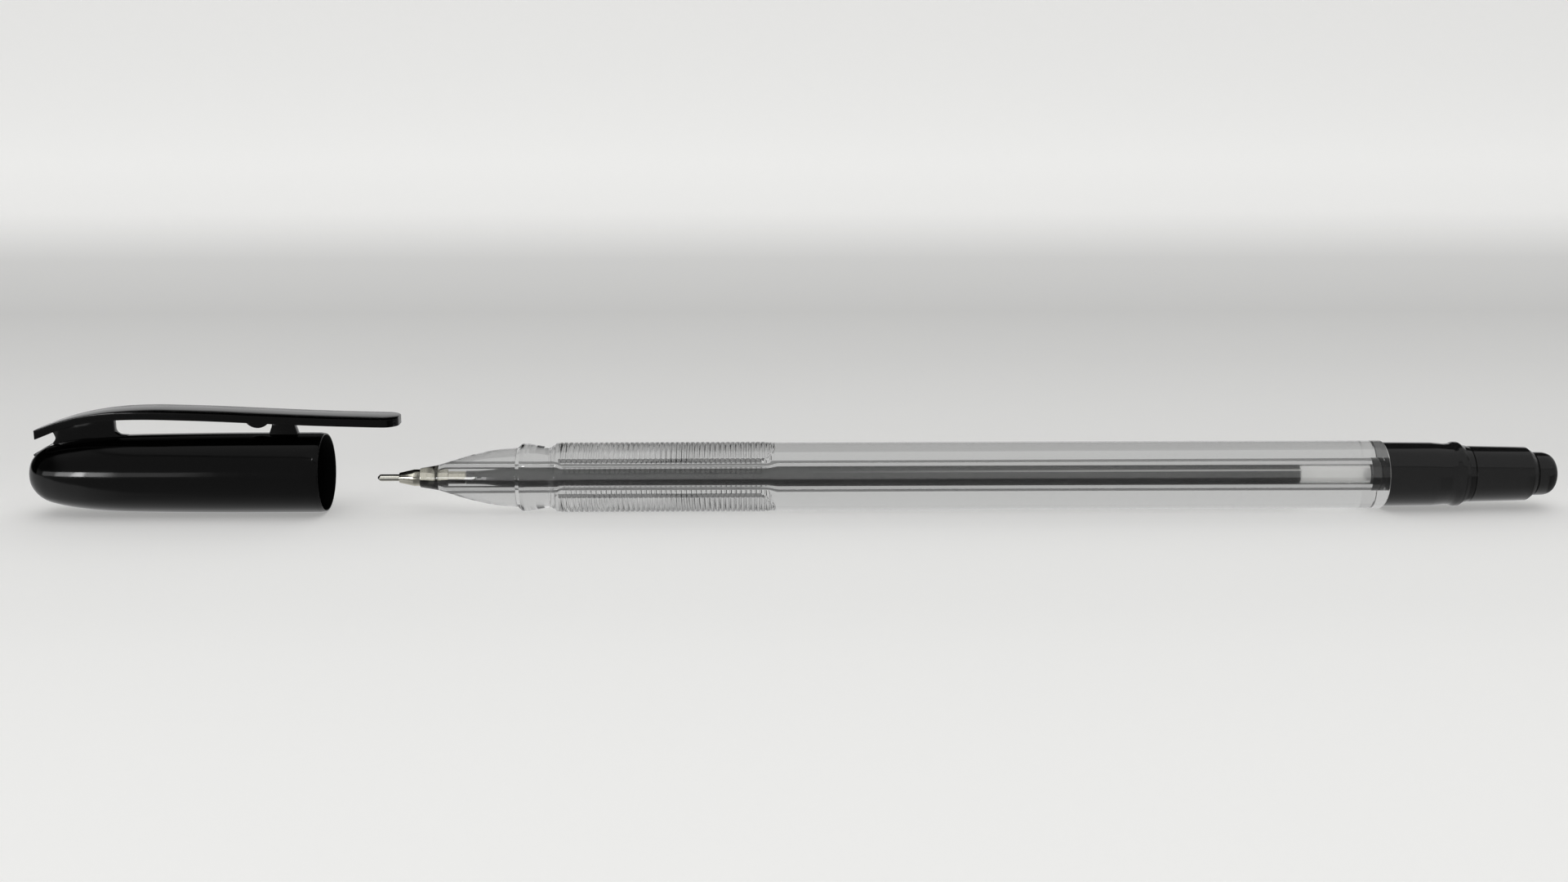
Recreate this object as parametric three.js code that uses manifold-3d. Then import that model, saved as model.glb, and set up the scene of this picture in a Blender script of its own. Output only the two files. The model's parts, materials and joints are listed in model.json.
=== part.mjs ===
// Capped stick ballpoint pen, lying on its side with its cap drawn off in front of it.
// Millimetres. X runs along the pen from the closed end of the cap (-X) to the tail (+X),
// +Z is up and Z = 0 is the surface that the barrel and the cap both lie on.
import * as THREE from "three";
import { mergeVertices } from "three/addons/utils/BufferGeometryUtils.js";
import Module from "manifold-3d";

// ---- driving dimensions ------------------------------------------------------
const SIDES = 32; // facets round every large turned shape, one of them facing down
const FINE = 24; // facets round the small writing parts
const R_BARREL = 4.28; // barrel, flat to centre
const R_CAP = 5.02; // cap, flat to centre
const X_CAP_END = -95.12; // closed end of the cap
const X_MOUTH = -58.73; // open end of the cap
const X_TIP = -52.45; // foremost point of the ball
const X_NOSE = -47.05; // front face of the barrel
const X_SHOULDER = -30.05; // where the full barrel diameter starts
const X_COLLAR = 73.39; // front face of the rear collar
const X_TAIL = 95.62; // end face of the tail knob
const R_RING = 4.2; // snap ring on the nose
const R_BORE = 1.28; // long bore of the barrel
const R_BORE_FRONT = 1.095; // short guide bore round the metal tip
const R_TUBE = 1.155; // refill tube outside
const R_TUBE_IN = 0.85; // refill tube inside
const R_NEEDLE = 0.437; // writing needle outside
const R_BALL = 0.3; // writing ball
const FIT = 0.03; // gap left between pressed surfaces
const CLIP_W = 5.0; // clip width along the free part
const ROOT_W = 4.2; // clip width at the root
const CLIP_T = 0.95; // clip thickness
const RIB_W = 1.1; // thickness of the web, the pad and the bead, across the cap
const CLIP_GAP = 0.06; // gap at the bending root of the clip and over the cap's pad
const X_CLIP_ROOT = -83.6; // plane where the clip arm leaves the cap
const X_CLIP_END = -49.3; // free end of the clip

// ---- helpers -----------------------------------------------------------------
const wasm = await Module();
wasm.setup();

// Indexed geometry with shared corners, no empty triangles, and faces turned outwards.
function clean(geometry) {
  geometry.deleteAttribute("normal");
  geometry.deleteAttribute("uv");
  const g = mergeVertices(geometry, 1e-5);
  const index = g.index.array;
  const p = g.attributes.position;
  const a = new THREE.Vector3();
  const b = new THREE.Vector3();
  const c = new THREE.Vector3();
  const kept = [];
  let volume = 0;
  for (let i = 0; i < index.length; i += 3) {
    const [u, v, w] = [index[i], index[i + 1], index[i + 2]];
    if (u === v || v === w || w === u) continue;
    kept.push(u, v, w);
    a.fromBufferAttribute(p, u);
    b.fromBufferAttribute(p, v);
    c.fromBufferAttribute(p, w);
    volume += a.dot(b.cross(c));
  }
  if (volume < 0)
    for (let i = 0; i < kept.length; i += 3)
      [kept[i + 1], kept[i + 2]] = [kept[i + 2], kept[i + 1]];
  g.setIndex(kept);
  return g;
}

// A shape turned about the X axis. Points are [x, radius], and a radius is measured to the flats.
// A profile that leaves the axis open is closed onto its first point.
function turned(points, sides = SIDES, z = R_BARREL) {
  const k = 1 / Math.cos(Math.PI / sides);
  const profile = points.map(([x, r]) => new THREE.Vector2(r * k, x));
  const [first, last] = [points[0], points[points.length - 1]];
  if (first[1] > 0 || last[1] > 0) profile.push(profile[0].clone());
  const g = new THREE.LatheGeometry(profile, sides, Math.PI / sides);
  g.rotateZ(-Math.PI / 2);
  g.translate(0, 0, z);
  return clean(g);
}

// A side outline of [x, z] points, as thick as width and centred on Y = 0.
function slab(points, width) {
  const shape = new THREE.Shape(points.map(([x, z]) => new THREE.Vector2(x, z)));
  const g = new THREE.ExtrudeGeometry(shape, { depth: width, bevelEnabled: false });
  g.rotateX(Math.PI / 2);
  g.translate(0, width / 2, 0);
  return clean(g);
}

// A plan outline of [x, y] points, from z0 up to z1.
function plate(points, z0, z1) {
  const shape = new THREE.Shape(points.map(([x, y]) => new THREE.Vector2(x, y)));
  const g = new THREE.ExtrudeGeometry(shape, { depth: z1 - z0, bevelEnabled: false });
  g.translate(0, 0, z0);
  return clean(g);
}

function solid(g) {
  return new wasm.Manifold(
    new wasm.Mesh({
      numProp: 3,
      vertProperties: new Float32Array(g.attributes.position.array),
      triVerts: new Uint32Array(g.index.array),
    }),
  );
}

function shell(manifold) {
  const mesh = manifold.getMesh();
  const g = new THREE.BufferGeometry();
  g.setAttribute("position", new THREE.BufferAttribute(new Float32Array(mesh.vertProperties), 3));
  g.setIndex([...mesh.triVerts]);
  return g;
}

const group = new THREE.Group();
group.name = "capped_stick_ballpoint_pen";
function piece(name, geometry, color, roughness, metalness, more = {}) {
  geometry.computeVertexNormals();
  const material = new THREE.MeshStandardMaterial({ color, roughness, metalness, ...more });
  const mesh = new THREE.Mesh(geometry, material);
  mesh.name = name;
  group.add(mesh);
}

// Points of an arc in a plane, from angle a to b in degrees.
function arc(cx, cy, r, a, b, n) {
  return Array.from({ length: n + 1 }, (_, i) => {
    const t = ((a + ((b - a) * i) / n) * Math.PI) / 180;
    return [cx + r * Math.cos(t), cy + r * Math.sin(t)];
  });
}

// ---- barrel: one thick-walled clear moulding -----------------------------------
piece(
  "barrel",
  turned([
    [X_NOSE, R_BORE_FRONT],
    [X_NOSE, 1.22],
    [-45.94, 1.393],
    [-44.92, 1.576],
    [-43.91, 1.882],
    [-42.89, 2.217],
    [-42.39, 2.43],
    [-41.17, 2.72],
    [-39.44, 3.134],
    [-38.33, 3.36],
    [-37.72, 3.45],
    [-36.3, 3.603],
    [-34.87, 3.715],
    [-34.37, R_RING],
    [-33.55, R_RING],
    [-30.75, 3.726],
    [X_SHOULDER, R_BARREL],
    [X_COLLAR - FIT, R_BARREL],
    [X_COLLAR - FIT, R_BORE],
    [-43.91, R_BORE],
    [-44.7, R_BORE_FRONT],
  ]),
  0xd5d7d6,
  0.08,
  0.0,
  { transparent: true, opacity: 0.35 },
);

// ---- writing ball, needle, metal tip --------------------------------------------
const X_BALL = X_TIP + R_BALL;
const ball = new THREE.SphereGeometry(R_BALL, 20, 14);
ball.translate(X_BALL, 0, R_BARREL);
piece("ball", clean(ball), 0x9fa1a3, 0.12, 1.0);

const R_SOCKET = 0.325;
const socket = arc(X_BALL, 0, R_SOCKET, 108, 28, 8).map(([x, r]) => [x, r]);
piece(
  "needle_tube",
  turned(
    [
      ...socket,
      [X_BALL + 0.36, 0.14],
      [-46.85, 0.14],
      [-46.85, R_NEEDLE],
      [-52.0, R_NEEDLE],
      [-52.14, 0.405],
      [X_BALL - 0.1, 0.345],
    ],
    FINE,
  ),
  0xb6b5ad,
  0.22,
  1.0,
);

piece(
  "tip_body",
  turned(
    [
      [-49.69, R_NEEDLE + FIT],
      [-49.69, 0.661],
      [-47.86, 1.058],
      [-43.3, 1.058],
      [-43.3, 0.788],
      [-41.1, 0.788],
      [-41.1, 0.62],
      [-39.1, 0.62],
      [-39.1, 0.24],
      [-46.6, 0.24],
      [-46.6, R_NEEDLE + FIT],
    ],
    FINE,
  ),
  0xb3b09f,
  0.25,
  1.0,
);

// ---- refill tube and ink --------------------------------------------------------
piece(
  "refill_tube",
  turned(
    [
      [-41.05, 0.65],
      [-41.05, 0.82],
      [-38.94, 0.865],
      [-37.5, 1.03],
      [-36.19, 1.15],
      [71.95, R_TUBE],
      [71.95, R_TUBE_IN],
      [-36.0, R_TUBE_IN],
      [-38.9, 0.65],
    ],
    FINE,
  ),
  0xd9d8d2,
  0.35,
  0.0,
);

piece(
  "ink_column",
  turned(
    [
      [-38.8, 0],
      [-38.8, 0.6],
      [-36.0, R_TUBE_IN - 0.02],
      [62.88, R_TUBE_IN - 0.02],
      [62.88, 0],
    ],
    FINE,
  ),
  0x17181c,
  0.4,
  0.0,
);

// ---- rear end: collar, post and knob pressed into each other ----------------------
piece(
  "end_collar",
  turned([
    [71.1, 0],
    [71.1, 0.55],
    [71.4, 0.8],
    [72.0, 0.8],
    [72.0, 1.25],
    [X_COLLAR, 1.25],
    [X_COLLAR, 4.051],
    [79.6, 3.991],
    [81.2, 3.86],
    [81.9, 3.86],
    [82.4, 4.03],
    [82.77, 4.08],
    [83.2, 4.0],
    [83.8, 3.613],
    [84.3, 3.52],
    [84.3, 2.43],
    [81.7, 2.43],
    [81.7, 0],
  ]),
  0x161616,
  0.3,
  0.0,
);

piece(
  "tail_post",
  turned([
    [81.75, 0],
    [81.75, 2.3],
    [81.85, 2.4],
    [84.33, 2.4],
    [84.33, 3.52],
    [90.0, 3.415],
    [91.55, 3.385],
    [92.07, 3.05],
    [92.5, 2.73],
    [92.5, 1.43],
    [88.2, 1.43],
    [88.2, 0],
  ]),
  0x161616,
  0.3,
  0.0,
);

piece(
  "tail_knob",
  turned([
    [88.25, 0],
    [88.25, 1.3],
    [88.35, 1.4],
    [92.53, 1.4],
    [92.53, 2.72],
    [93.8, 2.7],
    [94.35, 2.6],
    [94.9, 2.28],
    [95.3, 1.75],
    [X_TAIL, 1.0],
    [X_TAIL, 0],
  ]),
  0x161616,
  0.3,
  0.0,
);

// ---- cap ------------------------------------------------------------------------
// Inside, from the mouth: a flared lead-in, a relieved land that passes over the shoulder,
// a slightly tapered land for the snap ring, and a step that the front of the ring seats on.
const capShell = turned(
  [
    [X_CAP_END, 0],
    [-95.05, 1.2],
    [-94.84, 1.95],
    [-94.5, 2.42],
    [-93.93, 2.98],
    [-92.93, 3.5],
    [-91.92, 3.81],
    [-90.91, 4.04],
    [-88.9, 4.37],
    [-86.88, 4.61],
    [-84.86, 4.757],
    [-82.85, 4.84],
    [-78.81, 4.92],
    [-74.77, 4.973],
    [-70.73, R_CAP],
    [-60.2, R_CAP],
    [-59.3, 4.985],
    [-58.85, 4.92],
    [X_MOUTH, 4.83],
    [X_MOUTH, 4.73],
    [X_MOUTH - 1.4, 4.47],
    [X_MOUTH - 5.6, 4.34],
    [X_MOUTH - 9.98, 4.24],
    [X_MOUTH - 10.18, 4.05],
    [-82.0, 3.95],
    [-88.5, 3.6],
    [-91.4, 3.0],
    [-93.0, 2.0],
    [-93.6, 0],
  ],
  SIDES,
  R_CAP,
);

// Height of the clip's upper surface above the cap's axis.
const X_STRIP = -93.7; // front end of the strip, overhanging the cap's end
const CLIP_TOP = [
  [X_STRIP, 5.83],
  [-92.4, 6.33],
  [-91.5, 6.66],
  [-90.5, 6.97],
  [-89.5, 7.25],
  [-88.5, 7.48],
  [-87.2, 7.73],
  [-86.0, 7.91],
  [-84.86, 8.035],
  [-83.2, 8.15],
  [-81.6, 8.21],
  [-79.8, 8.225],
  [-77.5, 8.18],
  [-73.0, 8.035],
  [-70.0, 7.9],
  [-66.7, 7.735],
  [-64.0, 7.605],
  [-61.0, 7.475],
  [-58.0, 7.355],
  [-55.0, 7.26],
  [-52.0, 7.175],
  [X_CLIP_END, 7.125],
];
const topAt = (x) => {
  const i = Math.max(1, CLIP_TOP.findIndex(([u]) => u >= x));
  const [[x0, h0], [x1, h1]] = [CLIP_TOP[i - 1], CLIP_TOP[i]];
  return h0 + ((h1 - h0) * (x - x0)) / (x1 - x0);
};
// Side outline of the strip between two stations, CLIP_T thick square to its slope.
function strip(x0, x1) {
  const inside = CLIP_TOP.map(([x]) => x).filter((x) => x > x0 + 0.1 && x < x1 - 0.1);
  const xs = [x0, ...inside, x1];
  const top = xs.map((x) => [x, R_CAP + topAt(x)]);
  const slope = (x) => (topAt(Math.min(x + 0.4, X_CLIP_END)) - topAt(Math.max(x - 0.4, X_STRIP))) / 0.8;
  const under = xs.map((x) => [x, R_CAP + topAt(x) - CLIP_T * Math.hypot(1, slope(x))]).reverse();
  return [...under, ...top];
}

// The root: the overhanging front of the strip and the thin web that joins it to the cap.
// The web's lower front edge runs down the cap's end as a low ridge.
const rootStrip = slab(strip(X_STRIP, X_CLIP_ROOT), ROOT_W + 1);
const rootPlan = plate(
  [
    [X_STRIP, -ROOT_W / 2 + 0.15],
    [X_STRIP + 0.15, -ROOT_W / 2],
    [X_CLIP_ROOT, -ROOT_W / 2],
    [X_CLIP_ROOT, ROOT_W / 2],
    [X_STRIP + 0.15, ROOT_W / 2],
    [X_STRIP, ROOT_W / 2 - 0.15],
  ],
  0,
  20,
);
const X_WINDOW = -84.5; // front edge of the opening under the clip
const web = slab(
  [
    [-94.3, R_CAP + 1.9],
    [-91.0, R_CAP + 3.4],
    [-83.0, R_CAP + 4.5],
    [-83.0, R_CAP + 4.88],
    [-83.6, R_CAP + 4.95],
    [-84.1, R_CAP + 5.2],
    [X_WINDOW + 0.1, R_CAP + 5.6],
    [X_WINDOW, R_CAP + 6.1],
    [X_WINDOW, R_CAP + 7.4],
    [-88.5, R_CAP + 6.9],
    [-91.5, R_CAP + 6.0],
    [-92.6, R_CAP + 5.7],
    [-92.45, R_CAP + 5.2],
    [-92.02, R_CAP + 4.95],
    [-91.84, R_CAP + 4.6],
    [-91.87, R_CAP + 4.3],
    [-92.1, R_CAP + 3.98],
    [-93.3, R_CAP + 3.33],
    [-94.72, R_CAP + 2.52],
  ],
  RIB_W,
);
// The pad under the clip near the mouth, on the cap.
const PAD_TOP = R_CAP + topAt(-64) - CLIP_T - CLIP_GAP - 0.06;
const pad = slab(
  [
    [-65.5, R_CAP + 4.7],
    [-61.9, R_CAP + 4.7],
    [-61.95, R_CAP + 5.07],
    [-62.2, R_CAP + 5.9],
    [-62.35, PAD_TOP - 0.2],
    [-62.55, PAD_TOP - 0.06],
    [-64.9, PAD_TOP],
    [-65.05, PAD_TOP - 0.2],
    [-65.1, R_CAP + 5.9],
    [-65.45, R_CAP + 5.07],
  ],
  RIB_W,
);
const cap = solid(capShell)
  .add(solid(rootStrip).intersect(solid(rootPlan)))
  .add(solid(web))
  .add(solid(pad));
piece("cap", shell(cap), 0x0c0c0c, 0.12, 0.0);

// ---- clip arm -------------------------------------------------------------------
const CORNER = 1.9; // plan radius of the free end
const half = CLIP_W / 2;
const armPlan = plate(
  [
    [X_CLIP_ROOT + CLIP_GAP, -ROOT_W / 2],
    [-82.5, -2.1],
    [-78.4, -2.3],
    [-73.0, -half],
    ...arc(X_CLIP_END - CORNER, -half + CORNER, CORNER, -90, 0, 7),
    ...arc(X_CLIP_END - CORNER, half - CORNER, CORNER, 0, 90, 7),
    [-73.0, half],
    [-78.4, 2.3],
    [-82.5, 2.1],
    [X_CLIP_ROOT + CLIP_GAP, ROOT_W / 2],
  ],
  0,
  20,
);
const armSide = slab(strip(X_CLIP_ROOT + CLIP_GAP, X_CLIP_END), CLIP_W + 1);
const X_BEAD = -66.83;
const R_BEAD = 1.755;
const bead = slab(
  arc(X_BEAD, R_CAP + 5.76 + R_BEAD, R_BEAD, 195, 345, 9),
  RIB_W,
);
const arm = solid(armSide).intersect(solid(armPlan)).add(solid(bead));
piece("clip", shell(arm), 0x0c0c0c, 0.12, 0.0);

export default group;
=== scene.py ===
"""Looks of a capped stick ballpoint pen: clear ribbed-grip barrel, visible refill, needle point,
black rear plug, and the pulled-off cap with its clip lying in line in front of the point."""

import math

import bmesh
import bpy
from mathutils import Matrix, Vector
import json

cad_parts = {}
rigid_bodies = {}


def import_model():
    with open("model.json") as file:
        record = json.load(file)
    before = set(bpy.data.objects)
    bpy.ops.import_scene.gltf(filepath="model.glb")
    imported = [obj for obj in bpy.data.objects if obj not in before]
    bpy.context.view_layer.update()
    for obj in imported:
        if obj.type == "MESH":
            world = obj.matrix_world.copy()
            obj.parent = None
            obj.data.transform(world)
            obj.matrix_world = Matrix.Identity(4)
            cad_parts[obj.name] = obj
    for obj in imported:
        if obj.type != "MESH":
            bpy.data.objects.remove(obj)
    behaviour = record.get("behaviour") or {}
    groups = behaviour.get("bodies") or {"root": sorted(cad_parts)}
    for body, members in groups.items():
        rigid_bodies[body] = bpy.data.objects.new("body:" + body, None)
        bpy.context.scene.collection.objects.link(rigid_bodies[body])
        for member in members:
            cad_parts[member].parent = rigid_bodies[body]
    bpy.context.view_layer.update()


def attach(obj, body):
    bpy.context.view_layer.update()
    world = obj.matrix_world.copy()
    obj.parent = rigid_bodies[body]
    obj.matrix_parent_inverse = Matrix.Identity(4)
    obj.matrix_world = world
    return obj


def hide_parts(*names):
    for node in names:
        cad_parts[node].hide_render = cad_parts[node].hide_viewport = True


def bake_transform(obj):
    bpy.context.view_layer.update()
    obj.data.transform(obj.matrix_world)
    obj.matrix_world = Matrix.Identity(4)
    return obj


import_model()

MM = 0.001
Z_PEN = 4.28  # height of the pen's axis above the floor, mm
Z_CAP = 5.02  # height of the cap's axis
TAU = 2 * math.pi


# ------------------------------------------------------------------ mesh helpers
def smoothed(points, step=0.25):
    """Monotone cubic through (x, r) points, resampled about every step mm."""
    xs = [p[0] for p in points]
    ys = [p[1] for p in points]
    n = len(xs)
    h = [xs[i + 1] - xs[i] for i in range(n - 1)]
    d = [(ys[i + 1] - ys[i]) / h[i] for i in range(n - 1)]
    m = [0.0] * n
    m[0], m[-1] = d[0], d[-1]
    for i in range(1, n - 1):
        if d[i - 1] * d[i] > 0:
            w1, w2 = 2 * h[i] + h[i - 1], h[i] + 2 * h[i - 1]
            m[i] = (w1 + w2) / (w1 / d[i - 1] + w2 / d[i])
    out = []
    for i in range(n - 1):
        k = max(1, int(math.ceil(abs(h[i]) / step)))
        for j in range(k):
            t = j / k
            a, b = 2 * t**3 - 3 * t**2 + 1, t**3 - 2 * t**2 + t
            c, e = -2 * t**3 + 3 * t**2, t**3 - t**2
            out.append(
                (xs[i] + t * h[i], a * ys[i] + b * h[i] * m[i] + c * ys[i + 1] + e * h[i] * m[i + 1])
            )
    out.append((xs[-1], ys[-1]))
    return out


def filleted(points, closed=False):
    """Points are (x, r) or (x, r, fillet radius). Returns the outline with its corners rounded."""
    n = len(points)
    out = []
    for i, p in enumerate(points):
        f = p[2] if len(p) > 2 else 0
        if not f or (not closed and i in (0, n - 1)):
            out.append((p[0], p[1]))
            continue
        a, b = Vector(points[i - 1][:2]), Vector(points[(i + 1) % n][:2])
        c = Vector(p[:2])
        u, v = (a - c), (b - c)
        lu, lv = u.length, v.length
        u.normalize()
        v.normalize()
        angle = u.angle(v)
        if angle > math.radians(178):
            out.append((p[0], p[1]))
            continue
        t = min(f / math.tan(angle / 2), 0.49 * lu, 0.49 * lv)
        f = t * math.tan(angle / 2)
        centre = c + (u + v).normalized() * (f / math.sin(angle / 2))
        s, e = c + u * t, c + v * t
        a0 = math.atan2(s.y - centre.y, s.x - centre.x)
        a1 = math.atan2(e.y - centre.y, e.x - centre.x)
        sweep = (a1 - a0 + math.pi) % TAU - math.pi
        k = max(2, int(math.ceil(abs(sweep) / math.radians(14))))
        for j in range(k + 1):
            q = a0 + sweep * j / k
            out.append((centre.x + f * math.cos(q), centre.y + f * math.sin(q)))
    return out


def mesh_object(name, verts, faces, sharp=38):
    """A closed mesh from mm coordinates, with normals outwards and smooth shading that breaks at edges."""
    bm = bmesh.new()
    vs = [bm.verts.new((x * MM, y * MM, z * MM)) for x, y, z in verts]
    for f in faces:
        if len(set(f)) > 2:
            bm.faces.new([vs[i] for i in f])
    bmesh.ops.remove_doubles(bm, verts=bm.verts, dist=1e-7)
    bmesh.ops.recalc_face_normals(bm, faces=bm.faces)
    me = bpy.data.meshes.new(name)
    bm.to_mesh(me)
    bm.free()
    for p in me.polygons:
        p.use_smooth = True
    me.set_sharp_from_angle(angle=math.radians(sharp))
    ob = bpy.data.objects.new(name, me)
    bpy.context.scene.collection.objects.link(ob)
    return ob


def rings(name, profile, z=Z_PEN, seg=96, radius=None, sharp=38, y=0.0):
    """Rings of seg points round the X axis, one for each (x, r) in profile, joined in order.
    A profile that starts and ends on the axis makes a solid, and any other is closed on itself.
    radius(x, r, angle) may change a radius."""
    verts, rows, faces = [], [], []
    for x, r in profile:
        if r < 1e-6:
            rows.append([len(verts)])
            verts.append((x, y, z))
            continue
        row = []
        for i in range(seg):
            a = TAU * i / seg
            q = radius(x, r, a) if radius else r
            row.append(len(verts))
            verts.append((x, y + q * math.cos(a), z + q * math.sin(a)))
        rows.append(row)
    pairs = list(zip(rows, rows[1:]))
    if len(rows[0]) > 1 or len(rows[-1]) > 1:
        pairs.append((rows[-1], rows[0]))
    for p, q in pairs:
        for i in range(seg):
            j = (i + 1) % seg
            if len(p) == 1 and len(q) == 1:
                continue
            if len(p) == 1:
                faces.append((p[0], q[i], q[j]))
            elif len(q) == 1:
                faces.append((p[i], q[0], p[j]))
            else:
                faces.append((p[i], q[i], q[j], p[j]))
    return mesh_object(name, verts, faces, sharp)


def put(ob, body, slot, material, *nodes):
    ob.data.materials.clear()
    ob.data.materials.append(material)
    if body:
        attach(ob, body)
    if nodes:
        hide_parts(*nodes)
    return ob


# ------------------------------------------------------------------ materials
def base_material(name):
    m = bpy.data.materials.new(name)
    m.use_nodes = True
    nt = m.node_tree
    p = nt.nodes["Principled BSDF"]
    co = nt.nodes.new("ShaderNodeTexCoord")
    return m, nt, p, co


def noise(nt, co, scale, detail=3.0, stretch=(1, 1, 1), rough=0.5):
    mp = nt.nodes.new("ShaderNodeMapping")
    mp.inputs["Scale"].default_value = stretch
    nt.links.new(co.outputs["Object"], mp.inputs["Vector"])
    t = nt.nodes.new("ShaderNodeTexNoise")
    t.inputs["Scale"].default_value = scale
    t.inputs["Detail"].default_value = detail
    t.inputs["Roughness"].default_value = rough
    nt.links.new(mp.outputs["Vector"], t.inputs["Vector"])
    return t.outputs["Fac"]


def ramp(nt, fac, stops):
    r = nt.nodes.new("ShaderNodeValToRGB")
    e = r.color_ramp.elements
    while len(e) < len(stops):
        e.new(0.5)
    for el, (pos, col) in zip(e, stops):
        el.position = pos
        el.color = (*col, 1) if isinstance(col, tuple) else (col, col, col, 1)
    nt.links.new(fac, r.inputs["Fac"])
    return r.outputs["Color"]


def bump(nt, p, height, strength, distance):
    b = nt.nodes.new("ShaderNodeBump")
    b.inputs["Strength"].default_value = strength
    b.inputs["Distance"].default_value = distance
    nt.links.new(height, b.inputs["Height"])
    nt.links.new(b.outputs["Normal"], p.inputs["Normal"])


def wear(nt, p, co, scale, low, high, stretch=(1, 1, 1)):
    """Roughness that varies over the surface, with fine rubbed streaks."""
    f = noise(nt, co, scale, 5.0, stretch, 0.62)
    nt.links.new(ramp(nt, f, [(0.35, low), (0.7, high)]), p.inputs["Roughness"])
    return f


def clear_plastic(name="clear_polystyrene", k=1.0, ior=1.57):
    m, nt, p, co = base_material(name)
    f = noise(nt, co, 120.0, 1.0, (0.1, 1, 1))
    tint = ramp(nt, f, [(0.3, (0.735 * k, 0.737 * k, 0.728 * k)), (0.7, (0.755 * k, 0.757 * k, 0.748 * k))])
    nt.links.new(tint, p.inputs["Base Color"])
    p.inputs["Transmission Weight"].default_value = 1.0
    p.inputs["IOR"].default_value = ior
    g = noise(nt, co, 900.0, 2.0, (0.12, 1, 1), 0.6)
    nt.links.new(ramp(nt, g, [(0.45, 0.0), (0.8, 0.010)]), p.inputs["Roughness"])
    bump(nt, p, noise(nt, co, 420.0, 1.5, (0.15, 1, 1)), 0.006, 0.0002)
    return m


def bore_wall():
    """The same plastic on the wall of the long bore, drawn by the core pin. In a narrow range of grazing
    looks its tint and transmission drop: a painted dark reflection, standing in for dark surroundings seen by
    total internal reflection."""
    m, nt, p, co = base_material("clear_polystyrene_bore_painted_reflection")
    lw = nt.nodes.new("ShaderNodeLayerWeight")
    lw.inputs["Blend"].default_value = 0.5
    f = noise(nt, co, 500.0, 3.0, (0.03, 1, 1))
    mx = nt.nodes.new("ShaderNodeMath")
    mx.operation = "MULTIPLY_ADD"
    nt.links.new(f, mx.inputs[0])
    mx.inputs[1].default_value = 0.06
    nt.links.new(lw.outputs["Facing"], mx.inputs[2])
    # painted dark reflection: in this band of facing values the tint darkens and the transmission drops
    stops = ((0.0, 0), (0.445, 0), (0.475, 1), (0.80, 1), (0.83, 0))
    tint = ramp(nt, mx.outputs[0], [(q, (0.97, 0.22)[k]) for q, k in stops])
    nt.links.new(tint, p.inputs["Base Color"])
    nt.links.new(ramp(nt, mx.outputs[0], [(q, (1.0, 0.12)[k]) for q, k in stops]), p.inputs["Transmission Weight"])
    p.inputs["IOR"].default_value = 1.57
    nt.links.new(ramp(nt, f, [(0.4, 0.0), (0.8, 0.012)]), p.inputs["Roughness"])
    bump(nt, p, f, 0.004, 0.0001)
    return m


def frosted_tube():
    """Milky tubing, a little whiter behind the end of the ink."""
    m, nt, p, co = base_material("frosted_polypropylene")
    f = noise(nt, co, 500.0, 2.0, (0.08, 1, 1))
    nt.links.new(
        ramp(nt, f, [(0.3, (0.96, 0.96, 0.95)), (0.7, (0.985, 0.985, 0.975))]),
        p.inputs["Base Color"],
    )
    sep = nt.nodes.new("ShaderNodeSeparateXYZ")
    nt.links.new(co.outputs["Object"], sep.inputs[0])
    mr = nt.nodes.new("ShaderNodeMapRange")
    for key, q in (("From Min", 0.0625), ("From Max", 0.0629), ("To Min", 0.985), ("To Max", 0.72)):
        mr.inputs[key].default_value = q
    nt.links.new(sep.outputs["X"], mr.inputs["Value"])
    nt.links.new(mr.outputs["Result"], p.inputs["Transmission Weight"])
    p.inputs["IOR"].default_value = 1.49
    wear(nt, p, co, 900.0, 0.03, 0.07, (0.06, 1, 1))
    bump(nt, p, noise(nt, co, 2500.0, 2.0, (0.1, 1, 1)), 0.01, 0.00002)
    return m


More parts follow.
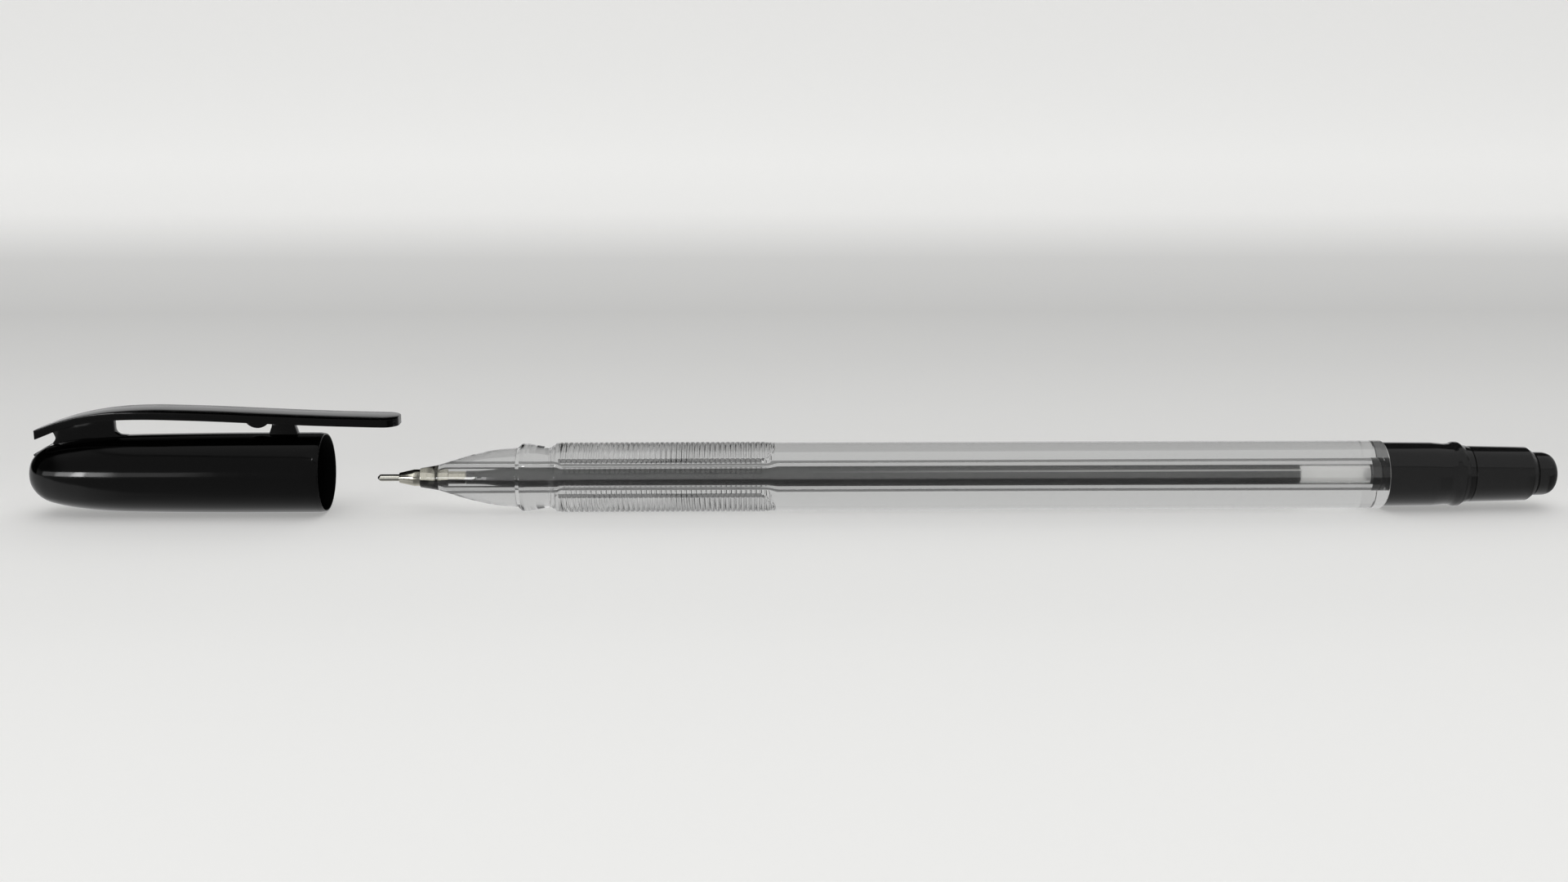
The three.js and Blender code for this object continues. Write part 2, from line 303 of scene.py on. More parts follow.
def ink():
    """Dark paste with painted shade, lighter on top and darker underneath, and a painted highlight in a narrow
    band near the top that grows towards its rear end.
    """
    m, nt, p, co = base_material("paste_ink")
    f = noise(nt, co, 260.0, 2.0, (0.1, 1, 1))
    upper = ramp(nt, f, [(0.3, (0.044, 0.045, 0.046)), (0.75, (0.053, 0.054, 0.055))])
    lower = ramp(nt, f, [(0.3, (0.008, 0.008, 0.009)), (0.75, (0.011, 0.011, 0.012))])
    sep = nt.nodes.new("ShaderNodeSeparateXYZ")
    nt.links.new(co.outputs["Object"], sep.inputs[0])

    def window(v, lo, hi, a=0.0, b=1.0):
        n = nt.nodes.new("ShaderNodeMapRange")
        n.interpolation_type = "SMOOTHSTEP"
        for key, q in (("From Min", lo), ("From Max", hi), ("To Min", a), ("To Max", b)):
            n.inputs[key].default_value = q
        nt.links.new(v, n.inputs["Value"])
        return n.outputs["Result"]

    def times(u, v):
        n = nt.nodes.new("ShaderNodeMath")
        n.operation = "MULTIPLY"
        nt.links.new(u, n.inputs[0])
        nt.links.new(v, n.inputs[1])
        return n.outputs[0]

    z, y, x = sep.outputs["Z"], sep.outputs["Y"], sep.outputs["X"]
    # painted shade: the paste is darker below the axis than above it, as if lit from above
    painted_shade_split = nt.nodes.new("ShaderNodeMix")
    painted_shade_split.data_type = "RGBA"
    nt.links.new(window(z, 0.00416, 0.00428), painted_shade_split.inputs["Factor"])
    nt.links.new(lower, painted_shade_split.inputs["A"])
    nt.links.new(upper, painted_shade_split.inputs["B"])
    dark = painted_shade_split.outputs["Result"]
    # painted highlight: a pale band along the top of the paste, growing towards its rear end
    painted_highlight = times(window(z, 0.00474, 0.00480), window(z, 0.00488, 0.00494, 1.0, 0.0))
    painted_highlight = times(painted_highlight, window(y, -0.0002, 0.0002, 1.0, 0.0))
    painted_highlight = times(painted_highlight, window(x, -0.006, 0.058))
    mix = nt.nodes.new("ShaderNodeMix")
    mix.data_type = "RGBA"
    nt.links.new(painted_highlight, mix.inputs["Factor"])
    nt.links.new(dark, mix.inputs["A"])
    mix.inputs["B"].default_value = (0.58, 0.58, 0.57, 1)
    nt.links.new(mix.outputs["Result"], p.inputs["Base Color"])
    wear(nt, p, co, 700.0, 0.30, 0.42, (0.1, 1, 1))
    bump(nt, p, noise(nt, co, 1200.0, 2.0, (0.1, 1, 1)), 0.03, 0.00002)
    return m


def gloss_black(name, ior, low, high, dark, light, scratches=0.05):
    m, nt, p, co = base_material(name)
    f = noise(nt, co, 180.0, 4.0)
    nt.links.new(ramp(nt, f, [(0.3, dark), (0.75, light)]), p.inputs["Base Color"])
    p.inputs["IOR"].default_value = ior
    wear(nt, p, co, 650.0, low, high, (0.5, 1, 1))
    bump(nt, p, noise(nt, co, 380.0, 3.0, (0.4, 1, 1)), scratches, 0.0004)
    return m


def turned_metal(name, colour_a, colour_b, low, high, shaded=False):
    """Lathe-turned metal; shaded darkens the underside of the part that sits in the barrel."""
    m, nt, p, co = base_material(name)
    f = noise(nt, co, 900.0, 4.0, (6, 0.5, 0.5))
    tone = ramp(nt, f, [(0.3, colour_a), (0.7, colour_b)])
    if shaded:
        sep = nt.nodes.new("ShaderNodeSeparateXYZ")
        nt.links.new(co.outputs["Object"], sep.inputs[0])
        both = nt.nodes.new("ShaderNodeMath")
        both.operation = "MULTIPLY"
        for k, (axis, lo, hi, a, b) in enumerate((("Z", 0.00418, 0.00428, 1.0, 0.0), ("X", -0.0471, -0.0470, 0.0, 1.0))):
            n = nt.nodes.new("ShaderNodeMapRange")
            n.interpolation_type = "SMOOTHSTEP"
            for key, q in (("From Min", lo), ("From Max", hi), ("To Min", a), ("To Max", b)):
                n.inputs[key].default_value = q
            nt.links.new(sep.outputs[axis], n.inputs["Value"])
            nt.links.new(n.outputs["Result"], both.inputs[k])
        mix = nt.nodes.new("ShaderNodeMix")
        mix.data_type = "RGBA"
        nt.links.new(both.outputs[0], mix.inputs["Factor"])
        nt.links.new(tone, mix.inputs["A"])
        mix.inputs["B"].default_value = (0.050, 0.050, 0.045, 1)
        tone = mix.outputs["Result"]
    nt.links.new(tone, p.inputs["Base Color"])
    p.inputs["Metallic"].default_value = 1.0
    wear(nt, p, co, 2500.0, low, high, (5, 0.4, 0.4))
    bump(nt, p, noise(nt, co, 5200.0, 2.0, (6, 0.15, 0.15)), 0.08, 0.00002)
    return m


CLEAR = clear_plastic()
BORE = bore_wall()
# painted shade: a darkened copy of the clear plastic for the tapering edges of the ribbed pads
PAD_EDGE_PAINTED_SHADE = clear_plastic("clear_polystyrene_edge_painted_shade", 0.18)
# painted light: a lightened copy of the clear plastic, with a low IOR, for the steep front of the snap ring
RING_STEP_PAINTED_LIGHT = clear_plastic("clear_polystyrene_step_painted_light", 1.08, 1.30)
FROSTED = frosted_tube()
INK = ink()
CAP_BLACK = gloss_black("gloss_black_cap", 1.50, 0.08, 0.13, (0.0005,) * 3, (0.0011,) * 3, 0.02)
CAP_INNER = gloss_black("black_cap_inside", 1.25, 0.5, 0.65, (0.0005,) * 3, (0.0011,) * 3, 0.02)
PLUG_BLACK = gloss_black("satin_black_plug", 1.75, 0.05, 0.09, (0.0120,) * 3, (0.0150,) * 3, 0.03)
NICKEL = turned_metal("nickel_silver", (0.64, 0.62, 0.53), (0.72, 0.70, 0.61), 0.08, 0.16, True)
NEEDLE = turned_metal("needle_steel", (0.62, 0.61, 0.55), (0.70, 0.69, 0.63), 0.10, 0.18)
BALL = turned_metal("ball_carbide", (0.42, 0.42, 0.43), (0.5, 0.5, 0.51), 0.06, 0.12)


# ------------------------------------------------------------------ barrel
X_NOSE, X_SHOULDER, X_GRIP_END, X_COLLAR = -47.05, -30.05, -3.0, 73.39
NOSE = [
    (-46.99, 1.235),
    (-45.94, 1.393),
    (-44.92, 1.576),
    (-43.91, 1.872),
    (-42.89, 2.19),
    (-42.0, 2.47),
    (-41.17, 2.71),
    (-39.44, 3.125),
    (-38.33, 3.36),
    (-37.4, 3.49),
    (-36.3, 3.60),
    (-34.95, 3.705),
]
RIB_PITCH = 0.63


def bump01(t):
    t = min(1.0, max(0.0, t))
    return t * t * (3 - 2 * t)


# The grip: three flattened smooth faces and three ribbed pads between them. Angles are measured
# in the YZ plane from +Y towards +Z; the middle of the front smooth face is 11.4 degrees above level.
FACE_AT = math.radians(180 - 11.4)
PAD_HALF = math.radians(32.5)
FACE_HALF = math.radians(60) - PAD_HALF


def pad_angle(a):
    """Signed angle from the middle of the nearest pad."""
    d = (a - FACE_AT - math.radians(60)) % (TAU / 3)
    return d - TAU / 3 if d > TAU / 6 else d


def grip_radius(x, r, a):
    if r < 3.9 or x < X_SHOULDER + 0.2 or x > X_GRIP_END + 1.0:
        return r
    d = abs(pad_angle(a))
    # where the pad ends along its length, rounded in plan towards the tail
    end = X_GRIP_END - 1.6 * (d / PAD_HALF) ** 2
    along = bump01((x - X_SHOULDER - 0.2) / 0.5) * bump01((end + 0.25 - x) / 0.5)
    # flattened face between the pads
    f = max(0.0, 1.0 - ((math.radians(60) - d) / FACE_HALF) ** 2) if d > PAD_HALF else 0.0
    flat_along = bump01((x - X_SHOULDER - 0.2) / 0.8) * bump01((X_GRIP_END + 0.6 - x) / 1.6)
    r -= 0.17 * f * flat_along
    across = bump01((PAD_HALF - d) / math.radians(6.0))
    phase = (x - X_SHOULDER - 0.55) / RIB_PITCH
    t = phase - math.floor(phase) - 0.5
    groove = math.exp(-((t / 0.17) ** 2))
    return r + across * along * (0.09 - 0.13 * groove)


def barrel():
    nose = smoothed(NOSE, 0.2)
    outer = [(X_NOSE, 1.10), (X_NOSE, 1.21)] + nose
    ring = filleted(
        [
            (-34.95, 3.705),
            (-34.86, 3.715, 0.12),
            (-34.38, 4.205, 0.24),
            (-33.5, 4.21, 0.35),
            (-30.78, 3.735, 0.06),
            (-30.05, 4.27, 0.14),
            (-29.6, 4.275),
        ]
    )
    grip = []
    x = -29.6 + RIB_PITCH / 10
    while x < X_GRIP_END + 1.2:
        grip.append((x, 4.275))
        x += RIB_PITCH / 10
    rear = [(-1.0, 4.275), (15.0, 4.27), (35.0, 4.262), (55.0, 4.255), (73.22, 4.25), (73.36, 4.11)]
    tail = [(73.36, 3.2), (73.36, 2.2), (73.36, 1.32), (73.32, 1.28)]
    bore = [(-43.5, 1.28), (-43.9, 1.27), (-44.5, 1.11), (-44.7, 1.098), (-47.02, 1.095)]
    profile = outer + ring[1:] + grip + rear + tail + bore
    return rings("clear_barrel", profile, seg=192, radius=grip_radius, sharp=32)


barrel_ob = put(barrel(), "barrel", "clear_barrel", CLEAR, "barrel")
# the bore wall with its painted dark reflection, the tapering edges of the ribbed pads in a darkened copy (painted
# shade), the upper part of the end face next to the black collar painted black as painted shade, the bevel round
# that face, and the short steep front of the snap ring in a lightened copy (painted light)
for extra in (BORE, PAD_EDGE_PAINTED_SHADE, PLUG_BLACK, FROSTED, RING_STEP_PAINTED_LIGHT):
    barrel_ob.data.materials.append(extra)
for poly in barrel_ob.data.polygons:
    c = poly.center / MM
    up_c = c.z - Z_PEN
    r_c = math.hypot(c.y, up_c)
    d_c = abs(pad_angle(math.atan2(up_c, c.y)))
    # painted light: the steep front of the snap ring takes the lightened copy of the clear plastic
    if -34.88 < c.x < -34.36 and r_c > 3.6:
        poly.material_index = 5
    elif c.x > -44.4 and r_c < 1.285 and c.x < 73.3:
        poly.material_index = 1
    # painted shade: the upper part of the end face takes the black plug material, the part below stays clear
    elif c.x > 73.35 and r_c > 1.35:
        poly.material_index = 3 if up_c > -1.0 else 0
    elif c.x > 73.24 and r_c > 4.0:
        poly.material_index = 4
    elif r_c > 3.9 and X_SHOULDER + 0.5 < c.x < X_GRIP_END - 1.6 * (d_c / PAD_HALF) ** 2:
        # painted shade: the tapering edges of the pads take the darkened copy of the clear plastic
        if math.radians(25.6) < d_c < math.radians(33.8):
            poly.material_index = 2
barrel_ob.visible_shadow = False  # clear plastic lets the light through to the floor

# ------------------------------------------------------------------ point, refill and ink
X_BALL, R_BALL = -52.15, 0.30


def ball():
    n = 20
    prof = [
        (X_BALL - R_BALL * math.cos(math.pi * i / n), R_BALL * math.sin(math.pi * i / n))
        for i in range(n + 1)
    ]
    prof[0], prof[-1] = (prof[0][0], 0), (prof[-1][0], 0)
    return rings("writing_ball", prof, seg=40)


put(ball(), "ball", "ball_metal", BALL, "ball")

socket = [
    (X_BALL + 0.325 * math.cos(math.radians(t)), 0.325 * math.sin(math.radians(t)))
    for t in range(108, 24, -8)
]
needle = filleted(
    [
        (X_BALL - 0.10, 0.335, 0.0),
        (-52.12, 0.425, 0.10),
        (-51.88, 0.437, 0.05),
        (-46.85, 0.437),
    ]
)
put(
    rings("needle", needle + [(-46.85, 0.14), (X_BALL + 0.36, 0.14)] + socket[::-1], seg=64),
    "refill",
    "needle_steel",
    NEEDLE,
    "needle_tube",
)
tip = filleted(
    [
        (-49.69, 0.445, 0.0),
        (-49.69, 0.655, 0.03),
        (-47.88, 1.058, 0.10),
        (-47.04, 1.06, 0.0),
        (-47.0, 1.0985, 0.0),
        (-44.72, 1.1015, 0.0),
        (-44.66, 1.06, 0.0),
        (-43.32, 1.058, 0.04),
        (-43.28, 0.79, 0.03),
        (-41.12, 0.788, 0.03),
        (-41.08, 0.62, 0.0),
        (-39.1, 0.62, 0.0),
        (-39.1, 0.24, 0.0),
        (-46.6, 0.24, 0.0),
        (-46.6, 0.445, 0.0),
    ]
)
put(rings("tip_shank", tip, seg=96), "refill", "nickel_silver", NICKEL, "tip_body")

tube_outer = smoothed([(-41.05, 0.82), (-40.2, 0.828), (-38.94, 0.865), (-37.9, 0.965), (-36.9, 1.10), (-36.19, 1.15), (-35.2, 1.155)], 0.2)
tube_inner = smoothed([(-38.9, 0.65), (-37.6, 0.72), (-36.0, 0.85), (-35.0, 0.85)], 0.2)
tube = [(-41.05, 0.64)] + tube_outer + [(20.0, 1.155), (71.45, 1.155), (71.49, 1.12), (71.49, 0.85), (20.0, 0.85)]
tube_ob = put(
    rings("refill_tube_skin", tube + tube_inner[::-1], seg=96),
    "refill",
    "frosted_tube",
    FROSTED,
    "refill_tube",
)
tube_ob.visible_shadow = False
ink_profile = (
    [(-38.98, 0), (-38.98, 0.628), (-41.02, 0.628), (-41.02, 0.655), (-38.98, 0.655)]
    + [(x, r + 0.006) for x, r in smoothed([(-38.9, 0.65), (-37.6, 0.72), (-36.0, 0.85), (-35.0, 0.85)], 0.2)]
    + [(20.0, 0.856), (62.7, 0.856), (62.84, 0.8), (62.88, 0.6), (62.8, 0.35), (62.72, 0)]
)
put(rings("ink_paste", ink_profile, seg=96), "refill", "ink", INK, "ink_column")

# ------------------------------------------------------------------ rear plug
collar = filleted(
    [
        (71.05, 0, 0),
        (71.05, 0.55, 0.15),
        (71.3, 0.81, 0.1),
        (71.5, 0.82, 0.03),
        (71.55, 1.283, 0.25),
        (73.39, 1.283, 0),
        (73.39, 4.03, 0.05),
        (79.6, 3.995, 0.5),
        (81.2, 3.85, 0.7),
        (81.9, 3.855, 0.45),
        (82.4, 4.055, 0.35),
        (82.92, 4.075, 0.35),
        (83.5, 3.70, 0.45),
        (84.25, 3.53, 0.04),
        (84.3, 3.44, 0),
        (84.3, 2.43, 0),
        (81.7, 2.43, 0),
        (81.7, 0, 0),
    ]
)
put(rings("rear_collar", collar, seg=128), "refill", "black_plug", PLUG_BLACK, "end_collar")
post = filleted(
    [
        (81.75, 0, 0),
        (81.75, 2.3, 0.05),
        (81.85, 2.4, 0),
        (84.33, 2.4, 0),
        (84.33, 3.42, 0.0),
        (84.39, 3.52, 0.03),
        (90.0, 3.415, 0.6),
        (91.6, 3.38, 0.25),
        (92.1, 3.02, 0.2),
        (92.45, 2.76, 0.05),
        (92.5, 2.66, 0),
        (92.5, 1.43, 0),
        (88.2, 1.43, 0),
        (88.2, 0, 0),
    ]
)
put(rings("rear_post", post, seg=128), "refill", "black_plug", PLUG_BLACK, "tail_post")
knob = [(88.25, 0), (88.25, 1.3), (88.35, 1.4), (92.53, 1.4), (92.53, 2.64), (92.59, 2.72)]
knob += smoothed([(93.1, 2.72), (93.7, 2.705), (94.2, 2.62), (94.7, 2.36), (95.08, 1.9), (95.32, 1.25), (95.41, 0.6)], 0.1)
knob += [(95.43, 0)]
put(rings("rear_knob", knob, seg=128), "refill", "black_plug", PLUG_BLACK, "tail_knob")

# ------------------------------------------------------------------ cap shell
X_MOUTH = -58.73
dome = [(-95.12, 0.0), (-95.11, 0.6), (-95.06, 1.2), (-94.97, 1.65), (-94.8, 2.05)]
dome += smoothed(
    [
        (-94.5, 2.43),
        (-94.2, 2.74),
        (-93.8, 3.07),
        (-92.93, 3.53),
        (-91.92, 3.83),
        (-90.91, 4.06),
        (-88.9, 4.385),
        (-86.88, 4.62),
        (-84.86, 4.763),
        (-82.85, 4.845),
        (-78.81, 4.92),
        (-74.77, 4.975),
        (-70.73, 5.01),
        (-66.0, 5.02),
        (-60.4, 5.02),
    ],
    0.25,
)
rim = filleted(
    [
        (-60.4, 5.02),
        (-59.35, 5.0, 1.2),
        (-58.80, 4.90, 0.25),
        (X_MOUTH, 4.80, 0.04),
        (X_MOUTH - 0.03, 4.735, 0.03),
        (X_MOUTH - 1.4, 4.50, 0.5),
        (X_MOUTH - 5.6, 4.375, 0.3),
        (X_MOUTH - 9.9, 4.25, 0.0),
        (X_MOUTH - 10.3, 4.06, 0.1),
        (-82.0, 3.95, 1.0),
        (-88.5, 3.6, 1.0),
        (-91.4, 3.0, 1.0),
        (-93.0, 2.0, 0.8),
        (-93.6, 0),
    ]
)
shell_ob = rings("cap_shell", dome + rim[1:], z=Z_CAP, seg=192, sharp=30)

# ------------------------------------------------------------------ clip, web and pad
X_STRIP = -94.1  # front end of the strip
X_FREE = -49.3  # free end, mm: the plan is rounded there
CLIP_TOP = [
    (X_STRIP, 5.70),
    (-92.4, 6.33),
    (-91.5, 6.66),
    (-90.5, 6.97),
    (-89.5, 7.25),
    (-88.5, 7.48),
    (-87.2, 7.73),
    (-86.0, 7.91),
    (-84.86, 8.035),
    (-83.2, 8.15),
    (-81.6, 8.21),
    (-79.8, 8.225),
    (-77.5, 8.18),
    (-73.0, 8.035),
    (-70.0, 7.9),
    (-66.7, 7.735),
    (-64.0, 7.605),
    (-61.0, 7.475),
    (-58.0, 7.355),
    (-55.0, 7.26),
    (-52.0, 7.175),
    (-49.3, 7.12),
]
CLIP_W, CLIP_T = 5.0, 0.95


def natural(points):
    """Catmull-Rom through (x, h) points, as a function of x."""
    def at(x):
        i = 0
        while i < len(points) - 2 and x > points[i + 1][0]:
            i += 1
        (x1, y1), (x2, y2) = points[i], points[i + 1]
        x0, y0 = points[i - 1] if i else (2 * x1 - x2, 2 * y1 - y2)
        x3, y3 = points[i + 2] if i + 2 < len(points) else (2 * x2 - x1, 2 * y2 - y1)
        h = x2 - x1
        m1, m2 = (y2 - y0) / (x2 - x0) * h, (y3 - y1) / (x3 - x1) * h
        t = (x - x1) / h
        return (
            (2 * t**3 - 3 * t**2 + 1) * y1
            + (t**3 - 2 * t**2 + t) * m1
            + (-2 * t**3 + 3 * t**2) * y2
            + (t**3 - t**2) * m2
        )

    return at


clip_top = natural(CLIP_TOP)


def plan_half(x):
    """Half width of the clip at x: narrower towards the root, rounded at the free end."""
    w = 1.35 + (CLIP_W / 2 - 1.35) * bump01((x - X_STRIP) / 14.5)
    c = 1.9
    d = X_FREE - x
    if d < c:
        w = CLIP_W / 2 - c + math.sqrt(max(0.0, c * c - (c - d) ** 2))
    d = x - X_STRIP
    if d < 0.12:
        w -= 0.12 - math.sqrt(max(0.0, 0.0144 - (0.12 - d) ** 2))
    return w


def clip_strip():
    xs = []
    x = X_STRIP
    while x < X_FREE:
        xs.append(x)
        near = min(x - X_STRIP, X_FREE - x)
        x += 0.03 if near < 0.2 else (0.1 if near < 2.0 else 0.4)
    if X_FREE - xs[-1] < 0.01:
        xs.pop()
    xs.append(X_FREE)
    rows, verts = [], []
    e = 0.05  # edge rounding of the cross-section
    for x in xs:
        h, w = clip_top(x), plan_half(x)
        t = CLIP_T + 0.13 * (1.0 - bump01((x - X_STRIP) / 5.0))
        w = max(w, 0.45)
        slope = (clip_top(min(x + 0.1, X_FREE)) - clip_top(max(x - 0.1, X_STRIP))) / 0.2
        ca = 1 / math.sqrt(1 + slope * slope)
        section = []
        for cx, cz, a0 in ((w - e, -e, 0), (-(w - e), -e, 90), (-(w - e), -(t - e), 180), (w - e, -(t - e), 270)):
            for k in range(4):
                q = math.radians(a0 + 30 * k)
                section.append((cx + e * math.cos(q), cz + e * math.sin(q)))
        row = []
        for yy, dd in section:
            row.append(len(verts))
            verts.append((x, yy, Z_CAP + h + dd / ca))
        rows.append(row)
    faces = []
    n = len(rows[0])
    for p, q in zip(rows, rows[1:]):
        for i in range(n):
            j = (i + 1) % n
            faces.append((p[i], q[i], q[j], p[j]))
    faces.append(tuple(reversed(rows[0])))
    faces.append(tuple(rows[-1]))
    return mesh_object("clip_strip", verts, faces, 40)


def prism(name, outline, half, e=0.12, sharp=38, z0=0.0):
    """A side outline of (x, z) mm points, +-half wide in Y, with its two side edges rounded by e."""
    pts = [Vector(p) for p in outline]
    n = len(pts)
    area = sum(pts[i].x * pts[(i + 1) % n].y - pts[(i + 1) % n].x * pts[i].y for i in range(n))
    if area < 0:
        pts.reverse()

    def inset(d):
        out = []
        for i in range(n):
            a, b, c = pts[i - 1], pts[i], pts[(i + 1) % n]
            u = (b - a).normalized()
            v = (c - b).normalized()
            nu, nv = Vector((-u.y, u.x)), Vector((-v.y, v.x))
            k = (nu + nv)
            k = k / max(0.35, k.length_squared / 2)
            out.append(b + k * d)
        return out

    verts, rows = [], []
    for yy, d in (
        (-half, e),
        (-half + e * 0.3, e * 0.3),
        (-half + e, 0.0),
        (half - e, 0.0),
        (half - e * 0.3, e * 0.3),
        (half, e),
    ):
        row = []
        for q in inset(d):
            row.append(len(verts))
            verts.append((q.x, yy, z0 + q.y))
        rows.append(row)
    faces = []
    for p, q in zip(rows, rows[1:]):
        for i in range(n):
            j = (i + 1) % n
            faces.append((p[i], q[i], q[j], p[j]))
    faces.append(tuple(reversed(rows[0])))
    faces.append(tuple(rows[-1]))
    return mesh_object(name, verts, faces, sharp)


X_WINDOW = -84.5
web_outline = filleted(
    [
        (-94.3, 1.9),
        (-91.0, 3.4),
        (-83.0, 4.4),
        (-83.0, 4.86),
        (X_WINDOW, 4.98, 0.85),
        (X_WINDOW, 7.4, 0.0),
        (-88.5, 6.9),
        (-91.5, 6.0),
        (-92.7, 5.5, 0.1),
        (-92.0, 5.25, 0.3),
        (-91.75, 4.55, 0.45),
        (-92.2, 3.93, 0.25),
        (-93.3, 3.33),
        (-94.74, 2.50, 0.12),
    ],
    closed=True,
)
web_ob = prism("clip_web", web_outline, 0.55, 0.10, z0=Z_CAP)
pad_top = clip_top(-64) - CLIP_T - 0.08
pad_outline = filleted(
    [
        (-65.6, 4.7),
        (-61.8, 4.7),
        (-61.93, 5.02, 0.1),
        (-62.2, 5.9, 0.5),
        (-62.4, pad_top - 0.02, 0.25),
        (-64.95, pad_top + 0.04, 0.25),
        (-65.12, 5.9, 0.5),
        (-65.47, 5.02, 0.1),
    ],
    closed=True,
)
pad_ob = prism("clip_pad", pad_outline, 0.55, 0.10, z0=Z_CAP)
strip_ob = clip_strip()
bead_outline = [
    (-66.83 + 1.755 * math.cos(math.radians(t)), 5.76 + 1.755 + 1.755 * math.sin(math.radians(t)))
    for t in range(195, 346, 10)
]
bead_ob = prism("clip_bead", bead_outline, 0.55, 0.10, z0=Z_CAP)

put(shell_ob, "cap", "black_cap", CAP_BLACK, "cap")
shell_ob.data.materials.append(CAP_INNER)
for poly in shell_ob.data.polygons:
    c, nrm = poly.center / MM, poly.normal
    if c.x < X_MOUTH - 0.05 and nrm.y * c.y + nrm.z * (c.z - Z_CAP) < 0:
        poly.material_index = 1  # matte inside
put(web_ob, "cap", "black_cap", CAP_BLACK)
put(pad_ob, "cap", "black_cap", CAP_BLACK)
put(bead_ob, "clip", "black_cap", CAP_BLACK)
put(strip_ob, None, "black_cap", CAP_BLACK, "clip")
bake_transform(strip_ob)

# ------------------------------------------------------------------ floor, backdrop, light, camera
# Painted light and shade of the paper sweep along Y, mm, used as its colour and as its glow: brightest near the
# viewer, a soft painted dim band where it starts to rise, and bright again higher up.
SWEEP_PAINTED_LIGHT = [
    (-240, 0.798),
    (-100, 0.798),
    (-77, 0.783),
    (-53, 0.760),
    (-38, 0.735),
    (-20, 0.728),
    (1, 0.690),
    (28, 0.635),
    (61, 0.608),
    (105, 0.557),
    (160, 0.509),
    (209, 0.570),
    (246, 0.770),
    (280, 0.806),
    (311, 0.783),
    (338, 0.767),
    (365, 0.757),
    (560, 0.72),
]
GLOW = 0.43


def sweep():
    """Paper floor that curves up into a backdrop, with painted light and shade along Y as its colour and as a
    painted glow.
    """
    path = [(-1500.0, 0.0), (-400.0, 0.0), (60.0, 0.0), (140.0, 0.0)]
    r = 420.0
    for i in range(1, 37):
        a = math.radians(90 * i / 36)
        path.append((140 + r * math.sin(a), r - r * math.cos(a)))
    path.append((140 + r, 1400.0))
    me = bpy.data.meshes.new("studio_floor")
    verts = [(x * MM, y * MM, z * MM) for y, z in path for x in (-1600, 1600)]
    faces = [(2 * i, 2 * i + 1, 2 * i + 3, 2 * i + 2) for i in range(len(path) - 1)]
    me.from_pydata(verts, [], faces)
    for p in me.polygons:
        p.use_smooth = True
    ob = bpy.data.objects.new("studio_floor", me)
    bpy.context.scene.collection.objects.link(ob)
    m, nt, p, co = base_material("pale_paper")
    sep = nt.nodes.new("ShaderNodeSeparateXYZ")
    nt.links.new(co.outputs["Object"], sep.inputs[0])
    lo, hi = SWEEP_PAINTED_LIGHT[0][0] * MM, SWEEP_PAINTED_LIGHT[-1][0] * MM
    mr = nt.nodes.new("ShaderNodeMapRange")
    mr.inputs["From Min"].default_value = lo
    mr.inputs["From Max"].default_value = hi
    nt.links.new(sep.outputs["Y"], mr.inputs["Value"])
    stops = [((y * MM - lo) / (hi - lo), (v, v * 0.998, v * 0.985)) for y, v in SWEEP_PAINTED_LIGHT]
    # painted light and shade, used both as the colour and as the glow of the floor
    tone = ramp(nt, mr.outputs["Result"], stops)
    nt.links.new(tone, p.inputs["Base Color"])
    nt.links.new(tone, p.inputs["Emission Color"])
    p.inputs["Emission Strength"].default_value = GLOW
    p.inputs["Roughness"].default_value = 1.0
    p.inputs["Specular IOR Level"].default_value = 0.0
    me.materials.append(m)
    ob.visible_glossy = False
    ob.visible_transmission = False
    ob.visible_shadow = False
    return ob


sweep()


